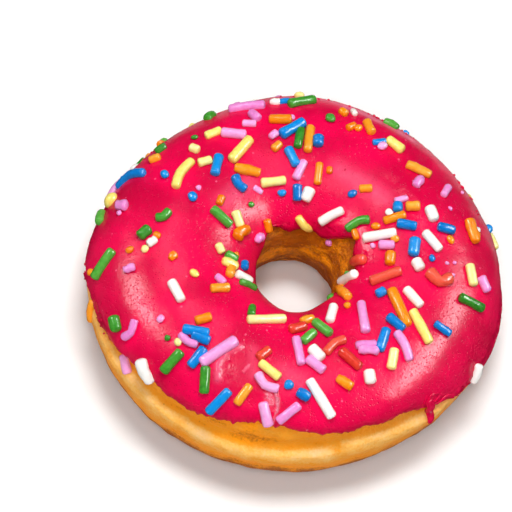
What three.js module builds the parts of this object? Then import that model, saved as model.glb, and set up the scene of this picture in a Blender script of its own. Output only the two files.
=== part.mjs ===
// A ring doughnut, about 93 mm across and 30 mm high, half dipped in icing.
// The dough is one ring whose section is a rounded oblong: an upper roll that carries the icing, a shallow
// crease under it, a wider lower roll, and a flat ring on the underside that it rests on.
// The icing is a thin shell over the crown, with an uneven edge on the outer flank and another in the hole.
// Millimetres, +Z up. The origin is on the resting face, under the middle of the whole ring.

import * as THREE from "three";

// Driving dimensions
const OUTER_RADIUS = 45; // at the lower roll
const HOLE_RADIUS = 9.2; // at the waist of the hole
const HOLE_SHIFT = new THREE.Vector2(-0.4, -1.4); // the hole is not quite in the middle
const DOUGH_HEIGHT = 27.7;
const WAIST_HEIGHT = 13.4; // where the ring is widest and the hole narrowest
const REST_FLAT = 0.7; // how much of the underside is pressed flat
const SQUARENESS = 2.18; // 2 is an ellipse, more is boxier
const ICING_THICKNESS = 1.4;
const ICING_CLEARANCE = 0.4; // between the dough and the underside of the icing
const LIP_TAPER = 3.2; // how far in from its edge the icing reaches full thickness

// The crease round the outside, between the two rolls. It is steep below and shallow above.
const CREASE_HEIGHT = 18.2;
const CREASE_WIDTH_ABOVE = 3.4;
const CREASE_WIDTH_BELOW = 1.5;
const CREASE_DEPTH = 0.6;
const CREASE_DEPTH_WAVES = [
  { lobes: 1, swell: 0.5, peakAt: 270 },
  { lobes: 3, swell: 0.15, peakAt: 250 },
];

// Steps of the mesh. The section's steps are closer together on the outer flank, for the crease.
const AROUND_STEPS = 72;
const ICING_SPAN_STEPS = 16;
const FLANK = { from: -20, to: 60, steps: 14 };
const REST_OF_SECTION_STEPS = 22;

// Unevenness: each wave adds swell at its peak, lobes times round the ring. Angles are in degrees.
const OUTLINE_WAVES = [
  { lobes: 1, swell: 0.6, peakAt: 270 },
  { lobes: 2, swell: 0.7, peakAt: 57 },
  { lobes: 3, swell: 0.55, peakAt: -19 },
  { lobes: 4, swell: 0.45, peakAt: 5 },
];
const CROWN_WAVES = [
  { lobes: 2, swell: 0.35, peakAt: 20 },
  { lobes: 5, swell: 0.25, peakAt: 31 },
];

// The heights of the icing's two edges. The ring was dipped aslant, so its front shows more dough: the
// outer edge climbs from its low level to its high one at the left, and falls back faster at the right.
const OUTER_EDGE = { low: 12.5, high: 21.8, climbs: [172, 240], falls: [312, 345] };
const OUTER_EDGE_WAVES = [
  { lobes: 5, swell: 0.9, peakAt: 271 },
  { lobes: 11, swell: 0.3, peakAt: 8 },
];
const INNER_EDGE_HEIGHT = 19.8;
const INNER_EDGE_WAVES = [
  { lobes: 1, swell: 3.0, peakAt: 20 },
  { lobes: 3, swell: 0.8, peakAt: 133 },
  { lobes: 8, swell: 0.25, peakAt: 42 },
];

const DOUGH_COLOUR = 0xd98f3c;
const ICING_COLOUR = 0xe8104c;

const radians = THREE.MathUtils.degToRad;

function waveSum(waves, around) {
  return waves.reduce(
    (sum, { lobes, swell, peakAt }) => sum + swell * Math.cos(lobes * (around - radians(peakAt))),
    0,
  );
}

// Distance from the axis to the wall of the off-centre hole.
function holeRadiusAt(around) {
  const toward = HOLE_SHIFT.x * Math.cos(around) + HOLE_SHIFT.y * Math.sin(around);
  return toward + Math.sqrt(toward ** 2 + HOLE_RADIUS ** 2 - HOLE_SHIFT.lengthSq());
}

// The middle and the half width of the section at one place round the ring.
function sectionAt(around) {
  const outer = OUTER_RADIUS + waveSum(OUTLINE_WAVES, around);
  const inner = holeRadiusAt(around);
  return {
    middle: (outer + inner) / 2,
    halfWidth: (outer - inner) / 2,
    riseAbove: DOUGH_HEIGHT - WAIST_HEIGHT + waveSum(CROWN_WAVES, around),
    riseBelow: WAIST_HEIGHT + REST_FLAT,
  };
}

function creaseDepth(around, height) {
  const above = height - CREASE_HEIGHT;
  const width = above > 0 ? CREASE_WIDTH_ABOVE : CREASE_WIDTH_BELOW;
  return (CREASE_DEPTH + waveSum(CREASE_DEPTH_WAVES, around)) * Math.exp(-((above / width) ** 2));
}

// A point on the dough. tilt is 0 at the outer flank, a quarter turn at the crown, a half turn in the hole.
function doughPoint(around, tilt) {
  const { middle, halfWidth, riseAbove, riseBelow } = sectionAt(around);
  const rounded = (value) => Math.sign(value) * Math.abs(value) ** (2 / SQUARENESS);
  const rise = Math.sin(tilt) > 0 ? riseAbove : riseBelow;
  const height = WAIST_HEIGHT + rise * rounded(Math.sin(tilt));
  const crease = Math.cos(tilt) > 0 ? creaseDepth(around, height) : 0;
  const radius = middle + halfWidth * rounded(Math.cos(tilt)) - crease;
  return new THREE.Vector3(
    radius * Math.cos(around),
    radius * Math.sin(around),
    Math.max(height, 0),
  );
}

// The way out of the dough's surface, from two short steps along it.
function doughNormal(around, tilt) {
  const step = 1e-3;
  const alongRing = doughPoint(around + step, tilt).sub(doughPoint(around - step, tilt));
  const alongSection = doughPoint(around, tilt + step).sub(doughPoint(around, tilt - step));
  return alongRing.cross(alongSection).normalize();
}

// The tilt at which the dough's surface reaches a height, on the outer flank.
function tiltAtHeight(around, height) {
  const { riseAbove, riseBelow } = sectionAt(around);
  const share = (height - WAIST_HEIGHT) / (height > WAIST_HEIGHT ? riseAbove : riseBelow);
  return Math.sign(share) * Math.asin(Math.abs(share) ** (SQUARENESS / 2));
}

// A torus whose points are put where place(around, step) says, step counting round the section.
function shapedRing(sectionSteps, place) {
  const geometry = new THREE.TorusGeometry(1, 0.5, sectionSteps, AROUND_STEPS);
  const points = geometry.getAttribute("position");
  const columns = AROUND_STEPS + 1;
  for (let n = 0; n < points.count; n++) {
    const column = (n % columns) % AROUND_STEPS;
    const row = Math.floor(n / columns) % sectionSteps;
    const point = place((column / AROUND_STEPS) * 2 * Math.PI, row);
    points.setXYZ(n, point.x, point.y, point.z);
  }
  geometry.computeVertexNormals();
  return geometry;
}

function doughGeometry() {
  const tiltAtStep = (step) =>
    step < FLANK.steps
      ? THREE.MathUtils.lerp(FLANK.from, FLANK.to, step / FLANK.steps)
      : THREE.MathUtils.lerp(FLANK.to, FLANK.from + 360, (step - FLANK.steps) / REST_OF_SECTION_STEPS);
  return shapedRing(FLANK.steps + REST_OF_SECTION_STEPS, (around, step) =>
    doughPoint(around, radians(tiltAtStep(step))),
  );
}

// The height of the icing's edge on the outer flank.
function outerEdgeHeight(around) {
  const degrees = THREE.MathUtils.radToDeg(around);
  const { low, high, climbs, falls } = OUTER_EDGE;
  const climbed = THREE.MathUtils.smoothstep(degrees, ...climbs);
  const fallen = THREE.MathUtils.smoothstep(degrees, ...falls);
  return THREE.MathUtils.lerp(low, high, climbed - fallen) + waveSum(OUTER_EDGE_WAVES, around);
}

// The icing's top goes from the outer edge over the crown to the edge in the hole, and its underside comes
// back. Both meet at the edges, where the thickness tapers to nothing in a round lip.
function icingGeometry() {
  const spanAt = (around) => ({
    start: tiltAtHeight(around, outerEdgeHeight(around)),
    end: Math.PI - tiltAtHeight(around, INNER_EDGE_HEIGHT + waveSum(INNER_EDGE_WAVES, around)),
  });
  return shapedRing(2 * ICING_SPAN_STEPS, (around, step) => {
    const onTop = step <= ICING_SPAN_STEPS;
    const stepAcross = onTop ? step : 2 * ICING_SPAN_STEPS - step;
    const share = (1 - Math.cos((Math.PI * stepAcross) / ICING_SPAN_STEPS)) / 2; // closer at the lips
    const { start, end } = spanAt(around);
    const tilt = THREE.MathUtils.lerp(start, end, share);
    const fromLip = Math.min(share, 1 - share) * (end - start) * sectionAt(around).halfWidth;
    const taper = Math.sqrt(1 - (1 - Math.min(fromLip / LIP_TAPER, 1)) ** 2);
    const lift = ICING_CLEARANCE + (onTop ? ICING_THICKNESS * taper : 0);
    return doughPoint(around, tilt).addScaledVector(doughNormal(around, tilt), lift);
  });
}

function subPart(name, geometry, color, roughness) {
  const mesh = new THREE.Mesh(
    geometry,
    new THREE.MeshStandardMaterial({ color, roughness, metalness: 0 }),
  );
  mesh.name = name;
  return mesh;
}

const doughnut = new THREE.Group();
doughnut.add(subPart("dough_ring", doughGeometry(), DOUGH_COLOUR, 0.65));
doughnut.add(subPart("icing", icingGeometry(), ICING_COLOUR, 0.35));

// The waves leave the ring slightly off its axis, so it is moved until the origin is under its middle.
const middle = new THREE.Box3().setFromObject(doughnut).getCenter(new THREE.Vector3());
doughnut.position.set(-middle.x, -middle.y, 0);

export default doughnut;
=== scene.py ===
"""A ring doughnut with pink icing and coloured sprinkles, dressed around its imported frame.

Lengths are in metres unless a name says millimetres. Places on the ring are given by two angles in
degrees: around, counted from +X, and tilt, counted up from the outer flank over the top and on to
the hole.
"""

import logging
import math
import random
from collections.abc import Callable, Iterable
from dataclasses import dataclass, field
from enum import Enum

import bpy
import numpy as np
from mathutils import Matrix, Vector, noise
from mathutils.bvhtree import BVHTree


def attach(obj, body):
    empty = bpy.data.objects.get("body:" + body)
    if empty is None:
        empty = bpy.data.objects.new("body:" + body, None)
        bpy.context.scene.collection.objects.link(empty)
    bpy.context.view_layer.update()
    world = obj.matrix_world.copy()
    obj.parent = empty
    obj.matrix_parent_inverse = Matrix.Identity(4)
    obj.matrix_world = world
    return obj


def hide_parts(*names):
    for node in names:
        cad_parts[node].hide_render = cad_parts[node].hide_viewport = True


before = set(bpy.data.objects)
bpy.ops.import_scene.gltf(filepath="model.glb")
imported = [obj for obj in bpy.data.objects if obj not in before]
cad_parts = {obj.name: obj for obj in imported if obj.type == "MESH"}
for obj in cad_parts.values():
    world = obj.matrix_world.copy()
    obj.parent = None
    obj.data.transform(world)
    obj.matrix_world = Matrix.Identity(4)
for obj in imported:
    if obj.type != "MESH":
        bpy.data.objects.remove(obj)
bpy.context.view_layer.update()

LOG = logging.getLogger("doughnut")
MM = 0.001
HOLE_LEAN_MM = 1.2
HOLE_LEAN_AROUND = 272
HOLE_LEAN_SPREAD = 34
MERGE_WITHIN = 0.001 * MM
UP = Vector((0, 0, 1))
LUMP_SIZE = 1.1  # on sprinkles, in half widths

Place = tuple[float, float]
Colour = tuple[float, float, float, float]


# ---------------- helpers


def tint(hex_code: str) -> Colour:
    """Turns a web colour into linear light.

    Args:
        hex_code: six hexadecimal digits.

    Returns:
        Red, green, blue and a full alpha.
    """
    parts = [int(hex_code[i : i + 2], 16) / 255 for i in (0, 2, 4)]
    linear = [c / 12.92 if c <= 0.04045 else ((c + 0.055) / 1.055) ** 2.4 for c in parts]
    return (*linear, 1.0)


def smooth(low: float, high: float, value: float) -> float:
    """Rises smoothly from 0 at low to 1 at high."""
    share = min(max((value - low) / (high - low), 0.0), 1.0)
    return share * share * (3 - 2 * share)


def bump_at(value: float, middle: float, width: float) -> float:
    """A round hump of height 1 at middle, falling off over width."""
    return math.exp(-(((value - middle) / width) ** 2))


def turn_between(angle: float, other: float) -> float:
    """The signed turn in degrees from other to angle, at most half a turn."""
    return (angle - other + 180) % 360 - 180


def leaned(x: float, y: float, z: float) -> tuple[float, float, float]:
    """Leans the front rim of the hole outward, as the dough has spread there.

    Args:
        x: millimetres.
        y: millimetres.
        z: millimetres.

    Returns:
        The point after the lean, in millimetres.
    """
    radius = math.hypot(x, y)
    around = math.degrees(math.atan2(y, x))
    lean = HOLE_LEAN_MM * bump_at(turn_between(around, HOLE_LEAN_AROUND), 0, HOLE_LEAN_SPREAD)
    lean *= (1 - smooth(12, 26, radius)) * smooth(6, 20, z)
    return x * (1 + lean / radius), y * (1 + lean / radius), z


def deselect() -> None:
    """Leaves object mode and selects nothing."""
    if bpy.context.object and bpy.context.object.mode != "OBJECT":
        bpy.ops.object.mode_set(mode="OBJECT")
    bpy.ops.object.select_all(action="DESELECT")


def pick(piece: bpy.types.Object) -> None:
    """Makes one object the only one selected, and the active one.

    Args:
        piece: the object.
    """
    deselect()
    piece.select_set(True)
    bpy.context.view_layer.objects.active = piece


def edit(piece: bpy.types.Object, *steps: Callable[[], object], every: bool = True) -> None:
    """Runs operators on an object in edit mode.

    Args:
        piece: the mesh object.
        steps: what to run, in order.
        every: whether the whole mesh is selected first.
    """
    pick(piece)
    bpy.ops.object.mode_set(mode="EDIT")
    bpy.ops.mesh.select_mode(type="FACE")
    if every:
        bpy.ops.mesh.select_all(action="SELECT")
    for step in steps:
        step()
    bpy.ops.object.mode_set(mode="OBJECT")


def select_faces(piece: bpy.types.Object, test: Callable[[Vector, Vector], bool]) -> None:
    """Selects the faces whose middle and normal pass a test.

    Args:
        piece: the mesh object, in object mode.
        test: takes a face's middle and its normal.
    """
    mesh = piece.data
    mesh.vertices.foreach_set("select", [False] * len(mesh.vertices))
    mesh.edges.foreach_set("select", [False] * len(mesh.edges))
    chosen = [bool(test(face.center, face.normal)) for face in mesh.polygons]
    mesh.polygons.foreach_set("select", chosen)


def round_off(piece: bpy.types.Object, levels: int) -> None:
    """Subdivides a mesh into a smooth surface.

    Args:
        piece: the mesh object.
        levels: how many times.
    """
    pick(piece)
    rounding = piece.modifiers.new("rounding", "SUBSURF")
    rounding.levels = rounding.render_levels = levels
    bpy.ops.object.modifier_apply(modifier=rounding.name)


def points_of(piece: bpy.types.Object) -> np.ndarray:
    """The mesh's points, one row each.

    Args:
        piece: the mesh object.

    Returns:
        The points.
    """
    flat = np.empty(len(piece.data.vertices) * 3)
    piece.data.vertices.foreach_get("co", flat)
    return flat.reshape(-1, 3)


def set_points(piece: bpy.types.Object, points: np.ndarray) -> None:
    """Moves the mesh's points to new places."""
    piece.data.vertices.foreach_set("co", np.asarray(points, float).ravel())
    piece.data.update()


def paint(piece: bpy.types.Object, name: str, values: Iterable[float]) -> None:
    """Stores one number for each point of a mesh, for its material to read."""
    layer = piece.data.attributes.new(name, "FLOAT", "POINT")
    layer.data.foreach_set("value", np.asarray(list(values), float))


def paint_even(piece: bpy.types.Object, **amounts: float) -> None:
    """Stores the same number at every point of a mesh, under each of the names."""
    for name, amount in amounts.items():
        paint(piece, name, [amount] * len(piece.data.vertices))


def join(pieces: list[bpy.types.Object]) -> bpy.types.Object:
    """Joins objects into the first of them.

    Args:
        pieces: the objects.

    Returns:
        The first of them, now the whole.
    """
    pick(pieces[0])
    for piece in pieces:
        piece.select_set(True)
    bpy.ops.object.join()
    return pieces[0]


def copy_of(mould: bpy.types.Object, name: str) -> bpy.types.Object:
    """Copies a mould, with a mesh of its own.

    Args:
        mould: what is copied.
        name: the copy's name.

    Returns:
        The copy.
    """
    copy = bpy.data.objects.new(name, mould.data.copy())
    bpy.context.collection.objects.link(copy)
    return copy


def tree_of(*pieces: bpy.types.Object) -> BVHTree:
    """A search tree over the surfaces of several meshes.

    Args:
        pieces: the mesh objects.

    Returns:
        The tree.
    """
    points: list[Vector] = []
    faces: list[list[int]] = []
    for piece in pieces:
        first = len(points)
        points.extend(v.co.copy() for v in piece.data.vertices)
        faces.extend([first + i for i in face.vertices] for face in piece.data.polygons)
    return BVHTree.FromPolygons(points, faces)


def merged_copy(node: str, name: str) -> bpy.types.Object:
    """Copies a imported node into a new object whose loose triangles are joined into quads.

    Args:
        node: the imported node's name.
        name: the new piece's name.

    Returns:
        The new object, at the origin.
    """
    piece = bpy.data.objects.new(name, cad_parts[node].data.copy())
    piece.data.materials.clear()
    bpy.context.collection.objects.link(piece)
    edit(
        piece,
        lambda: bpy.ops.mesh.remove_doubles(threshold=MERGE_WITHIN),
        lambda: bpy.ops.mesh.tris_convert_to_quads(
            face_threshold=math.radians(50), shape_threshold=math.radians(60)
        ),
        lambda: bpy.ops.mesh.normals_make_consistent(inside=False),
    )
    return piece


def ripple(x: float, y: float, z: float, length: float, seed: float = 0.0) -> float:
    """Smooth noise between about -1 and 1.

    Args:
        x: millimetres.
        y: millimetres.
        z: millimetres.
        length: the size of its lumps in millimetres.
        seed: picks another pattern.

    Returns:
        The noise at that place.
    """
    return noise.noise(Vector((x / length + seed, y / length - seed, z / length + 2 * seed)))


# ---------------- materials


class Wire:
    """A node's output, on which sums are written as plain Python."""

    def __init__(self, bench: "Bench", socket: bpy.types.NodeSocket) -> None:
        """Keeps the bench that makes the nodes, and the output socket."""
        self.bench = bench
        self.socket = socket

    def _math(self, operation: str, *terms: "Wire | float", clamp: bool = False) -> "Wire":
        """Adds one Math node whose sockets hold the terms in order.

        Args:
            operation: what the node does.
            terms: a number or a wire for each socket.
            clamp: whether the result is kept between 0 and 1.

        Returns:
            The result.
        """
        node = self.bench.node(
            "ShaderNodeMath", {"operation": operation, "use_clamp": clamp}, dict(enumerate(terms))
        )
        return Wire(self.bench, node.outputs[0])

    def __add__(self, other: "Wire | float") -> "Wire":
        """self + other"""
        return self._math("ADD", self, other)

    __radd__ = __add__

    def __sub__(self, other: "Wire | float") -> "Wire":
        """self - other"""
        return self._math("SUBTRACT", self, other)

    def __rsub__(self, other: float) -> "Wire":
        """other - self"""
        return self._math("SUBTRACT", other, self)

    def __mul__(self, other: "Wire | float") -> "Wire":
        """self * other"""
        return self._math("MULTIPLY", self, other)

    __rmul__ = __mul__

    def __pow__(self, other: float) -> "Wire":
        """self ** other"""
        return self._math("POWER", self, other)

    def between(self, low: float, high: float) -> "Wire":
        """Rises smoothly from 0 to 1.

        Args:
            low: where it is still 0.
            high: where it is 1.

        Returns:
            The result.
        """
        node = self.bench.node(
            "ShaderNodeMapRange",
            {"interpolation_type": "SMOOTHSTEP"},
            {"Value": self, "From Min": low, "From Max": high},
        )
        return Wire(self.bench, node.outputs[0])

    def clamped(self) -> "Wire":
        """Kept between 0 and 1."""
        return self._math("ADD", self, 0.0, clamp=True)


class Bench:
    """Builds one material's nodes."""

    def __init__(self, name: str) -> None:
        """Starts an empty material with Object coordinates at hand.

        Args:
            name: the material's name.
        """
        self.material = bpy.data.materials.new(name)
        self.material.use_nodes = True
        self.tree = self.material.node_tree
        self.tree.nodes.clear()
        self.coords = self.out(self.node("ShaderNodeTexCoord", {}, {}), "Object")

    def node(self, kind: str, settings: dict, inputs: dict) -> bpy.types.Node:
        """Adds a node.

        Args:
            kind: the node's type.
            settings: its own settings, and "stops" for a colour ramp.
            inputs: a value or a wire for each socket, by name or number.

        Returns:
            The node.
        """
        node = self.tree.nodes.new(kind)
        for key, value in settings.items():
            if key == "stops":
                self._set_stops(node.color_ramp, value)
            else:
                setattr(node, key, value)
        for key, value in inputs.items():
            if isinstance(value, Wire):
                self.tree.links.new(value.socket, node.inputs[key])
            else:
                node.inputs[key].default_value = value
        return node

    @staticmethod
    def _set_stops(ramp: bpy.types.ColorRamp, stops: list[tuple[float, Colour]]) -> None:
        """Puts a colour ramp's stops in.

        Args:
            ramp: the ramp.
            stops: each stop's position and colour.
        """
        while len(ramp.elements) < len(stops):
            ramp.elements.new(1.0)
        for element, (position, colour) in zip(ramp.elements, stops):
            element.position, element.color = position, colour

    def out(self, node: bpy.types.Node, output: str | int = 0) -> Wire:
        """Wraps one of a node's outputs."""
        return Wire(self, node.outputs[output])

    def grain(
        self,
        size_mm: float,
        detail: float = 2.0,
        stretch: tuple[float, float, float] = (1, 1, 1),
    ) -> Wire:
        """Noise from 0 to 1 over the piece.

        Args:
            size_mm: how big its lumps are.
            detail: how many finer layers it has.
            stretch: how many times longer the lumps are along each axis.

        Returns:
            The noise.
        """
        placed = self.node(
            "ShaderNodeMapping",
            {},
            {"Vector": self.coords, "Scale": tuple(1 / (s * size_mm * MM) for s in stretch)},
        )
        made = self.node(
            "ShaderNodeTexNoise",
            {"noise_dimensions": "3D"},
            {"Vector": self.out(placed), "Scale": 1.0, "Detail": detail, "Roughness": 0.55},
        )
        return self.out(made, 0)

    def dots(self, spacing_mm: float) -> Wire:
        """Distance to scattered points, 0 on each of them.

        Args:
            spacing_mm: about how far apart they are.

        Returns:
            The distance, as a share of the spacing.
        """
        made = self.node(
            "ShaderNodeTexVoronoi",
            {"feature": "F1"},
            {"Vector": self.coords, "Scale": 1 / (spacing_mm * MM), "Randomness": 1.0},
        )
        return self.out(made, "Distance")

    def painted(self, name: str) -> Wire:
        """A number that the mesh carries for each point."""
        return self.out(self.node("ShaderNodeAttribute", {"attribute_name": name}, {}), "Fac")

    def blend(self, share: "Wire | float", one: "Wire | Colour", other: "Wire | Colour") -> Wire:
        """Mixes two colours.

        Args:
            share: how much of the second shows.
            one: the first colour.
            other: the second colour.

        Returns:
            The mixed colour.
        """
        made = self.node(
            "ShaderNodeMix", {"data_type": "RGBA"}, {0: share, 6: one, 7: other}
        )
        return self.out(made, 2)

    def ramp(self, share: Wire, stops: list[tuple[float, Colour]]) -> Wire:
        """Reads a colour ramp at share."""
        return self.out(self.node("ShaderNodeValToRGB", {"stops": stops}, {"Fac": share}))

    def relief(self, height: Wire, depth_mm: float) -> Wire:
        """Turns a height from 0 to 1 into a bumped normal.

        Args:
            height: the height.
            depth_mm: how deep a height of 1 is.

        Returns:
            The normal.
        """
        made = self.node(
            "ShaderNodeBump", {}, {"Strength": 1.0, "Distance": depth_mm * MM, "Height": height}
        )
        return self.out(made)

    def finish(self, **sockets: "Wire | float | Colour") -> bpy.types.Material:
        """Adds the surface shader and the output.

        Args:
            sockets: the shader's sockets, with _ for each space in a name.

        Returns:
            The finished material.
        """
        shader = self.node(
            "ShaderNodeBsdfPrincipled",
            {},
            {name.replace("_", " "): value for name, value in sockets.items()},
        )
        self.node("ShaderNodeOutputMaterial", {}, {"Surface": self.out(shader)})
        return self.material


@dataclass(frozen=True)
class CrustFinish:
    """Fried dough, from the pale proof line to the browned parts."""

    cream: str = "FFCE8E"
    straw: str = "FFC162"
    gold: str = "FCA42A"
    amber: str = "FF9A0A"
    brown: str = "B25A08"
    freckle: str = "8E4410"
    patch_mm: float = 5.0
    pore_mm: float = 0.55
    fold_mm: float = 1.4

    def material(self) -> bpy.types.Material:
        """Builds it. A number the mesh carries says how brown each place is: from the frying, and
        from painted shade near the table.

        Returns:
            The material.
        """
        bench = Bench("fried_crust")
        patches = bench.grain(self.patch_mm, 4) - 0.5
        streaks = bench.grain(self.fold_mm, 3, stretch=(2.5, 2.5, 1)) - 0.5
        fine = bench.grain(self.pore_mm, 3)
        uneven = patches * 0.42 + streaks * 0.5 + (fine - 0.5) * 0.44
        bake_and_shade = (bench.painted("bake_and_shade") + uneven).clamped()
        shades = (self.cream, self.straw, self.gold, self.amber, self.brown)
        last = len(shades) - 1
        stops = [(step / last, tint(shade)) for step, shade in enumerate(shades)]
        colour = bench.ramp(bake_and_shade, stops)
        freckles = (1 - bench.dots(1.9).between(0.07, 0.16)) * bench.grain(6, 1).between(0.5, 0.62)
        colour = bench.blend(freckles * 0.28, colour, tint(self.freckle))
        relief = fine * 0.5 + bench.grain(self.fold_mm, 3, stretch=(2.2, 2.2, 1)) * 1.2
        return bench.finish(
            Base_Color=colour,
            Roughness=0.48 + bench.grain(3, 2) * 0.22,
            Normal=bench.relief(relief, 0.5),
            Specular_IOR_Level=0.2,
        )


@dataclass(frozen=True)
class IcingFinish:
    """Set pink icing: glossy, with a fine grain of pits, a few sugary specks, painted shade in the
    pits and along the edge, and stripes of painted highlight.
    """

    deep: str = "D2003E"
    body: str = "F0004C"
    speck: str = "FF6F98"
    flake: str = "FFB4C2"
    # The colour of the painted highlight stripes.
    painted_highlight_pink: str = "FF6E94"
    # The colour of the painted shade in the pits.
    pit_shade: str = "B00030"
    # The colour of the painted shade along the edge.
    edge_shade: str = "B8002E"
    cloud_mm: float = 14.0
    grain_mm: float = 0.42
    speck_mm: float = 4.2

    def material(self) -> bpy.types.Material:
        """Builds it, from three numbers that the mesh carries.

        They are "crackle", where the skin has broken; a number for the stripes of painted
        highlight, pale pink that stands in for reflections on the hole's far rim and along the far
        outer rim, and for the light that fold crests catch; and "lip", how near the edge a place
        is, where the icing is painted darker as painted shade along its edge.

        Returns:
            The material.
        """
        bench = Bench("pink_icing")
        clouds = bench.grain(self.cloud_mm, 3).between(0.34, 0.62)
        colour = bench.blend(clouds, tint(self.deep), tint(self.body))
        # Painted shade: darker crimson towards the edge of the icing.
        colour = bench.blend(bench.painted("lip") * 0.4, colour, tint(self.edge_shade))
        specks = 1 - bench.dots(self.speck_mm).between(0.035, 0.075)
        colour = bench.blend(specks * 0.7, colour, tint(self.speck))
        crackle = bench.painted("crackle")
        veins = 1 - ((bench.grain(1.1, 3) - 0.5) ** 2 * 130).clamped()
        flakes = ((veins + crackle * 0.55) * crackle).clamped()
        colour = bench.blend(flakes * 0.8, colour, tint(self.flake))
        # Stripes of painted highlight: pale pink standing in for reflections, and for the light
        # that fold crests catch.
        veil = bench.painted("veil")
        colour = bench.blend(veil * (0.45 + bench.grain(1.6, 3) * 0.6), colour, tint(self.painted_highlight_pink))
        # The pits are also painted darker: painted shade in the recesses.
        pits = 1 - bench.dots(0.62).between(0.12, 0.34)
        colour = bench.blend(pits * 0.25, colour, tint(self.pit_shade))
        grain = bench.grain(self.grain_mm, 2)
        soft = bench.grain(2.6, 2)
        relief = grain * 0.26 - pits * 0.3 + soft * 0.35 + flakes * 1.2
        return bench.finish(
            Base_Color=colour,
            Roughness=0.2 + grain * 0.09 + crackle * 0.15,
            Normal=bench.relief(relief, 0.16),
            Specular_IOR_Level=0.25,
        )


@dataclass(frozen=True)
class SprinkleFinish:
    """Coloured sugar paste, a little waxy, no two quite alike."""

    name: str
    body: str
    pale: str
    dark: str

    def material(self) -> bpy.types.Material:
        """Builds it. The mesh's "tone" number differs from one sprinkle to the next.

        Returns:
            The material.
        """
        bench = Bench(f"sugar_{self.name}")
        tone = bench.painted("tone")
        mottle = bench.grain(0.9, 3)
        share = (tone * 0.7 + (mottle - 0.5) * 0.9 + 0.15).clamped()
        colour = bench.ramp(
            share, [(0.0, tint(self.dark)), (0.45, tint(self.body)), (1.0, tint(self.pale))]
        )
        relief = bench.grain(0.35, 2) * 0.4 + bench.grain(1.1, 2) * 0.9
        return bench.finish(
            Base_Color=colour,
            Roughness=0.17 + mottle * 0.12,
            Normal=bench.relief(relief, 0.1),
            Specular_IOR_Level=0.5,
        )


@dataclass(frozen=True)
class FloorFinish:
    """A plain white table top with the faintest tooth."""

    colour: str = "FBFAF9"
    hollow: str = "F4F2F0"

    def material(self) -> bpy.types.Material:
        """Builds it.

        Returns:
            The material.
        """
        bench = Bench("table_white")
        tooth = bench.grain(1.5, 2)
        return bench.finish(
            Base_Color=bench.blend(tooth * 0.04, tint(self.colour), tint(self.hollow)),
            Roughness=0.85,
            Normal=bench.relief(tooth, 0.02),
            Specular_IOR_Level=0.1,
        )


# ---------------- the pieces


@dataclass
class RingSurface:
    """The outside of the dressed ring, found by the two angles of a place on it."""

    tree: BVHTree
    eye: Vector
    core_radius: float = 27.0 * MM
    core_height: float = 13.4 * MM
    reach: float = 24.0 * MM
    grazing: float = 0.45

    def at(self, place: Place) -> tuple[Vector, Vector]:
        """The point and the normal at a place.

        Args:
            place: the place.

        Returns:
            The point and the normal.
        """
        around, tilt = (math.radians(angle) for angle in place)
        radial = Vector((math.cos(around), math.sin(around), 0))
        outward = radial * math.cos(tilt) + UP * math.sin(tilt)
        start = radial * self.core_radius + UP * self.core_height + outward * self.reach
        point, normal, _, _ = self.tree.ray_cast(start, -outward)
        return point, normal

    def over(self, place: Place, height: float, seen: bool = True) -> tuple[Vector, Vector]:
        """A point at some height over a place.

        Args:
            place: the place.
            height: how far over the surface.
            seen: whether the place is where the line of sight through the point meets the surface,
                and not the foot of the point.

        Returns:
            The point, and the surface's normal under it.
        """
        point, normal = self.at(place)
        if not seen:
            return point + normal * height, normal
        sight = (self.eye - point).normalized()
        return point + sight * (height / max(sight.dot(normal), self.grazing)), normal

    def height_of(self, point: Vector) -> tuple[float, Vector]:
        """How far a point is over the surface, and the normal there."""
        nearest, normal, _, _ = self.tree.find_nearest(point)
        return (point - nearest).dot(normal), normal


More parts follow.
